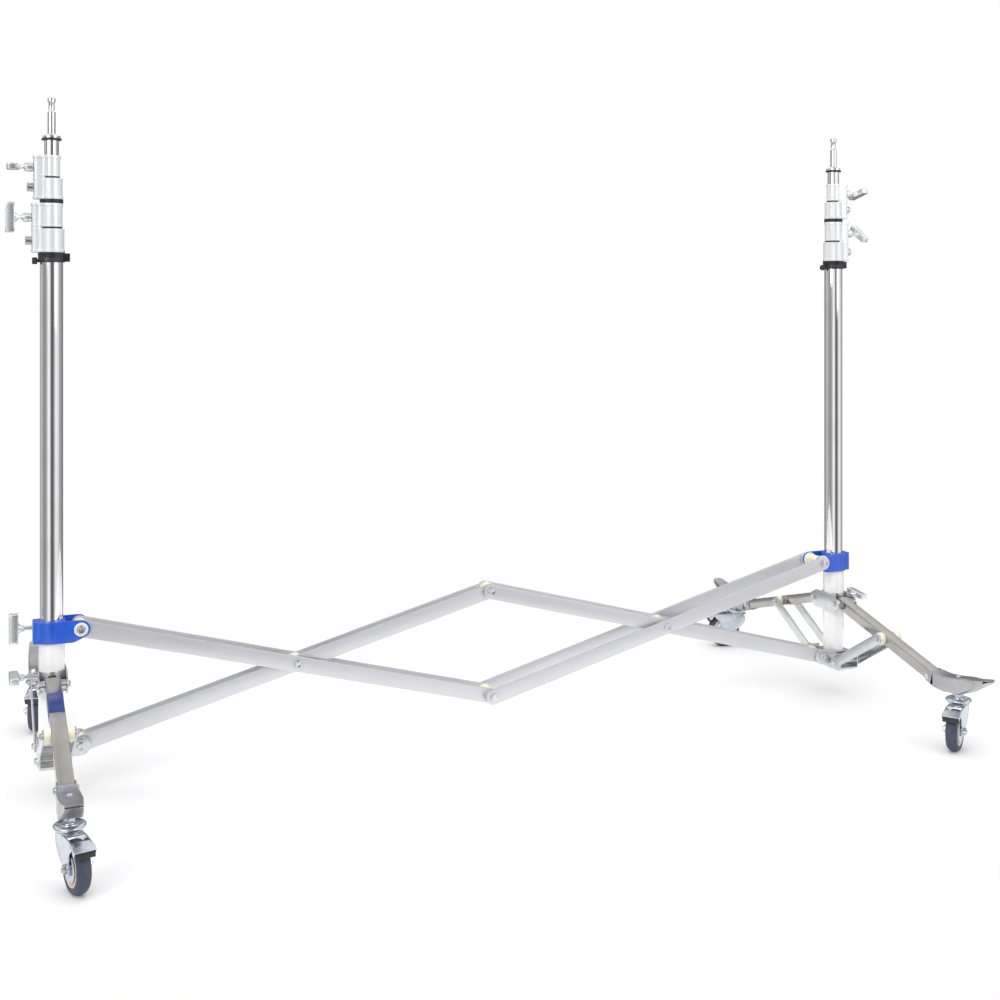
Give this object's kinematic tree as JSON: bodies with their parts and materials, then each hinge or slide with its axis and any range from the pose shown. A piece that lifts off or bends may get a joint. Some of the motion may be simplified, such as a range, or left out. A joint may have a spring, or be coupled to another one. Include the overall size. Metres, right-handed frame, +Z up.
{
  "type": "double riser stand",
  "caption": "Two rolling telescopic riser columns with top studs, joined by a folding scissor brace, on castored folding legs.",
  "frame": {"origin": "on the floor, midway between the two column axes", "axes": "+X along the scissor towards the right unit, +Y across it away from the viewer, +Z up along the studs"},
  "size_m": [2.0858, 1.14, 1.4138],
  "materials": {
    "white_tube": "gloss white powder coat",
    "chrome_tube": "polished chrome",
    "collar": "bright polished casting",
    "black_plastic": "satin black",
    "zinc": "bright zinc plate",
    "stud": "bright plated steel",
    "handle": "plated zinc casting",
    "blue_coat": "royal blue powder coat",
    "stainless": "brushed stainless steel",
    "toe_steel": "satin pressed steel",
    "zinc_blue": "bright blue zinc plate",
    "tyre": "blue grey rubber on a plastic core",
    "satin_aluminium": "satin anodised"
  },
  "bodies": {
    "left_unit": {"left_base_tube": "white_tube", "left_column": "chrome_tube", "left_lower_collar": "collar", "left_rings": "black_plastic", "left_foot_bracket": "zinc"},
    "left_middle_riser": {"left_middle_riser": "chrome_tube", "left_upper_collar": "collar"},
    "left_top_riser": {"left_top_riser": "chrome_tube", "left_stud": "stud", "left_top_stop": "black_plastic"},
    "left_leg_collar": {"left_leg_collar": "zinc"},
    "left_bracket": {"left_bracket": "blue_coat"},
    "left_lower_handle": {"left_lower_handle": "handle"},
    "left_upper_handle": {"left_upper_handle": "handle"},
    "left_leg_handle": {"left_leg_handle": "handle"},
    "left_bracket_handle": {"left_bracket_handle": "handle"},
    "left_front_leg": {"left_front_leg": "stainless", "left_front_toe": "toe_steel"},
    "left_front_strut": {"left_front_strut": "zinc"},
    "left_front_fork": {"left_front_fork": "zinc_blue"},
    "left_front_wheel": {"left_front_wheel": "tyre"},
    "left_front_pedal": {"left_front_pedal": "zinc_blue"},
    "left_back_leg": {"left_back_leg": "stainless", "left_back_toe": "toe_steel"},
    "left_back_strut": {"left_back_strut": "zinc"},
    "left_back_fork": {"left_back_fork": "zinc_blue"},
    "left_back_wheel": {"left_back_wheel": "tyre"},
    "left_back_pedal": {"left_back_pedal": "zinc_blue"},
    "right_unit": {"right_base_tube": "white_tube", "right_column": "chrome_tube", "right_lower_collar": "collar", "right_rings": "black_plastic", "right_foot_bracket": "zinc"},
    "right_middle_riser": {"right_middle_riser": "chrome_tube", "right_upper_collar": "collar"},
    "right_top_riser": {"right_top_riser": "chrome_tube", "right_stud": "stud", "right_top_stop": "black_plastic"},
    "right_leg_collar": {"right_leg_collar": "zinc"},
    "right_bracket": {"right_bracket": "blue_coat"},
    "right_lower_handle": {"right_lower_handle": "handle"},
    "right_upper_handle": {"right_upper_handle": "handle"},
    "right_leg_handle": {"right_leg_handle": "handle"},
    "right_front_leg": {"right_front_leg": "stainless", "right_front_toe": "toe_steel"},
    "right_front_strut": {"right_front_strut": "zinc"},
    "right_front_fork": {"right_front_fork": "zinc_blue"},
    "right_front_wheel": {"right_front_wheel": "tyre"},
    "right_front_pedal": {"right_front_pedal": "zinc_blue"},
    "right_back_leg": {"right_back_leg": "stainless", "right_back_toe": "toe_steel"},
    "right_back_strut": {"right_back_strut": "zinc"},
    "right_back_fork": {"right_back_fork": "zinc_blue"},
    "right_back_wheel": {"right_back_wheel": "tyre"},
    "right_back_pedal": {"right_back_pedal": "zinc_blue"},
    "left_rising_bars": {"left_rising_bars": "satin_aluminium"},
    "left_falling_bars": {"left_falling_bars": "satin_aluminium"},
    "right_rising_bars": {"right_rising_bars": "satin_aluminium"},
    "right_falling_bars": {"right_falling_bars": "satin_aluminium"}
  },
  "joints": [
    {"name": "left_middle_raise", "type": "slide", "parent": "left_unit", "child": "left_middle_riser", "axis": [0, 0, 1], "range_m": [0, 0.85]},
    {"name": "left_top_raise", "type": "slide", "parent": "left_middle_riser", "child": "left_top_riser", "axis": [0, 0, 1], "range_m": [0, 0.85]},
    {"name": "left_lower_handle_turn", "type": "hinge", "parent": "left_unit", "child": "left_lower_handle", "pos_m": [-0.954, 0, 1.17], "axis": [-1, 0, 0], "range_deg": [0, 180]},
    {"name": "left_upper_handle_turn", "type": "hinge", "parent": "left_middle_riser", "child": "left_upper_handle", "pos_m": [-0.954, 0, 1.27197], "axis": [-1, 0, 0], "range_deg": [0, 180]},
    {"name": "left_leg_handle_turn", "type": "hinge", "parent": "left_leg_collar", "child": "left_leg_handle", "pos_m": [-0.954, 0, 0.24], "axis": [-1, 0, 0], "range_deg": [0, 180]},
    {"name": "left_bracket_handle_turn", "type": "hinge", "parent": "left_bracket", "child": "left_bracket_handle", "pos_m": [-0.954, 0, 0.3391], "axis": [-1, 0, 0], "range_deg": [0, 180]},
    {"name": "left_leg_slide", "type": "slide", "parent": "left_unit", "child": "left_leg_collar", "axis": [0, 0, 1], "range_m": [0, 0.045]},
    {"name": "left_front_leg_fold", "type": "hinge", "parent": "left_leg_collar", "child": "left_front_leg", "pos_m": [-0.954, -0.044, 0.23], "axis": [1, 0, 0], "range_deg": [0, 9.9]},
    {"name": "left_front_strut_fold", "type": "hinge", "parent": "left_unit", "child": "left_front_strut", "pos_m": [-0.954, -0.048, 0.083], "axis": [-1, 0, 0], "range_deg": [0, 5.6]},
    {"name": "left_front_fork_swivel", "type": "hinge", "parent": "left_front_leg", "child": "left_front_fork", "pos_m": [-0.954, -0.465, 0.1], "axis": [0, 0, 1], "continuous": true},
    {"name": "left_front_wheel_spin", "type": "hinge", "parent": "left_front_fork", "child": "left_front_wheel", "pos_m": [-0.94529, -0.49993, 0.045], "axis": [0.9703, 0.2419, 0], "continuous": true},
    {"name": "left_front_pedal_press", "type": "hinge", "parent": "left_front_fork", "child": "left_front_pedal", "pos_m": [-0.93997, -0.52128, 0.0895], "axis": [0.9703, 0.2419, 0], "range_deg": [0, 8]},
    {"name": "left_back_leg_fold", "type": "hinge", "parent": "left_leg_collar", "child": "left_back_leg", "pos_m": [-0.954, 0.044, 0.23], "axis": [-1, 0, 0], "range_deg": [0, 9.9]},
    {"name": "left_back_strut_fold", "type": "hinge", "parent": "left_unit", "child": "left_back_strut", "pos_m": [-0.954, 0.048, 0.083], "axis": [1, 0, 0], "range_deg": [0, 5.6]},
    {"name": "left_back_fork_swivel", "type": "hinge", "parent": "left_back_leg", "child": "left_back_fork", "pos_m": [-0.954, 0.465, 0.1], "axis": [0, 0, 1], "continuous": true},
    {"name": "left_back_wheel_spin", "type": "hinge", "parent": "left_back_fork", "child": "left_back_wheel", "pos_m": [-0.96148, 0.42979, 0.045], "axis": [0.9781, -0.2079, 0], "continuous": true},
    {"name": "left_back_pedal_press", "type": "hinge", "parent": "left_back_fork", "child": "left_back_pedal", "pos_m": [-0.96606, 0.40827, 0.0895], "axis": [0.9781, -0.2079, 0], "range_deg": [0, 8]},
    {"name": "right_middle_raise", "type": "slide", "parent": "right_unit", "child": "right_middle_riser", "axis": [0, 0, 1], "range_m": [0, 0.85]},
    {"name": "right_top_raise", "type": "slide", "parent": "right_middle_riser", "child": "right_top_riser", "axis": [0, 0, 1], "range_m": [0, 0.85]},
    {"name": "right_lower_handle_turn", "type": "hinge", "parent": "right_unit", "child": "right_lower_handle", "pos_m": [0.954, 0, 1.17], "axis": [1, 0, 0], "range_deg": [0, 180]},
    {"name": "right_upper_handle_turn", "type": "hinge", "parent": "right_middle_riser", "child": "right_upper_handle", "pos_m": [0.954, 0, 1.27197], "axis": [1, 0, 0], "range_deg": [0, 180]},
    {"name": "right_leg_handle_turn", "type": "hinge", "parent": "right_leg_collar", "child": "right_leg_handle", "pos_m": [0.954, 0, 0.24], "axis": [1, 0, 0], "range_deg": [0, 180]},
    {"name": "right_leg_slide", "type": "slide", "parent": "right_unit", "child": "right_leg_collar", "axis": [0, 0, 1], "range_m": [0, 0.045]},
    {"name": "right_front_leg_fold", "type": "hinge", "parent": "right_leg_collar", "child": "right_front_leg", "pos_m": [0.954, -0.044, 0.23], "axis": [1, 0, 0], "range_deg": [0, 9.9]},
    {"name": "right_front_strut_fold", "type": "hinge", "parent": "right_unit", "child": "right_front_strut", "pos_m": [0.954, -0.048, 0.083], "axis": [-1, 0, 0], "range_deg": [0, 5.6]},
    {"name": "right_front_fork_swivel", "type": "hinge", "parent": "right_front_leg", "child": "right_front_fork", "pos_m": [0.954, -0.465, 0.1], "axis": [0, 0, 1], "continuous": true},
    {"name": "right_front_wheel_spin", "type": "hinge", "parent": "right_front_fork", "child": "right_front_wheel", "pos_m": [0.92525, -0.48667, 0.045], "axis": [0.6018, -0.7986, 0], "continuous": true},
    {"name": "right_front_pedal_press", "type": "hinge", "parent": "right_front_fork", "child": "right_front_pedal", "pos_m": [0.90768, -0.49991, 0.0895], "axis": [0.6018, -0.7986, 0], "range_deg": [0, 8]},
    {"name": "right_back_leg_fold", "type": "hinge", "parent": "right_leg_collar", "child": "right_back_leg", "pos_m": [0.954, 0.044, 0.23], "axis": [-1, 0, 0], "range_deg": [0, 9.9]},
    {"name": "right_back_strut_fold", "type": "hinge", "parent": "right_unit", "child": "right_back_strut", "pos_m": [0.954, 0.048, 0.083], "axis": [1, 0, 0], "range_deg": [0, 5.6]},
    {"name": "right_back_fork_swivel", "type": "hinge", "parent": "right_back_leg", "child": "right_back_fork", "pos_m": [0.954, 0.465, 0.1], "axis": [0, 0, 1], "continuous": true},
    {"name": "right_back_wheel_spin", "type": "hinge", "parent": "right_back_fork", "child": "right_back_wheel", "pos_m": [0.92017, 0.47731, 0.045], "axis": [-0.342, -0.9397, 0], "continuous": true},
    {"name": "right_back_pedal_press", "type": "hinge", "parent": "right_back_fork", "child": "right_back_pedal", "pos_m": [0.8995, 0.48484, 0.0895], "axis": [-0.342, -0.9397, 0], "range_deg": [0, 8]},
    {"name": "fold", "type": "hinge", "parent": "left_unit", "child": "left_rising_bars", "pos_m": [-0.8988, 0, 0.0963], "axis": [0, -1, 0], "range_deg": [0, 65]},
    {"name": "left_crossing", "type": "hinge", "parent": "left_rising_bars", "child": "left_falling_bars", "pos_m": [-0.4494, 0, 0.2151], "axis": [0, -1, 0], "range_deg": [-130, 0]},
    {"name": "upper_centre", "type": "hinge", "parent": "left_rising_bars", "child": "right_falling_bars", "pos_m": [0, 0, 0.3339], "axis": [0, -1, 0], "range_deg": [-130, 0]},
    {"name": "right_crossing", "type": "hinge", "parent": "right_falling_bars", "child": "right_rising_bars", "pos_m": [0.4494, 0, 0.2151], "axis": [0, -1, 0], "range_deg": [0, 130]},
    {"name": "right_foot", "type": "hinge", "parent": "right_falling_bars", "child": "right_unit", "pos_m": [0.8988, 0, 0.0963], "axis": [0, -1, 0], "range_deg": [0, 65]},
    {"name": "left_bracket_pivot", "type": "hinge", "parent": "left_falling_bars", "child": "left_bracket", "pos_m": [-0.8988, 0, 0.3339], "axis": [0, -1, 0], "range_deg": [0, 65]},
    {"name": "right_bracket_pivot", "type": "hinge", "parent": "right_rising_bars", "child": "right_bracket", "pos_m": [0.8988, 0, 0.3339], "axis": [0, -1, 0], "range_deg": [-65, 0]}
  ],
  "couplings": [
    {"joint": "left_crossing", "follows": "fold", "ratio": -2},
    {"joint": "upper_centre", "follows": "fold", "ratio": -2},
    {"joint": "right_crossing", "follows": "fold", "ratio": 2},
    {"joint": "right_foot", "follows": "fold", "ratio": 1},
    {"joint": "left_bracket_pivot", "follows": "fold", "ratio": 1},
    {"joint": "right_bracket_pivot", "follows": "fold", "ratio": -1},
    {"joint": "left_front_leg_fold", "follows": "left_leg_slide", "rad_per_m": 3.83},
    {"joint": "left_front_strut_fold", "follows": "left_leg_slide", "rad_per_m": 2.15},
    {"joint": "left_back_leg_fold", "follows": "left_leg_slide", "rad_per_m": 3.83},
    {"joint": "left_back_strut_fold", "follows": "left_leg_slide", "rad_per_m": 2.15},
    {"joint": "right_front_leg_fold", "follows": "right_leg_slide", "rad_per_m": 3.83},
    {"joint": "right_front_strut_fold", "follows": "right_leg_slide", "rad_per_m": 2.15},
    {"joint": "right_back_leg_fold", "follows": "right_leg_slide", "rad_per_m": 3.83},
    {"joint": "right_back_strut_fold", "follows": "right_leg_slide", "rad_per_m": 2.15}
  ]
}
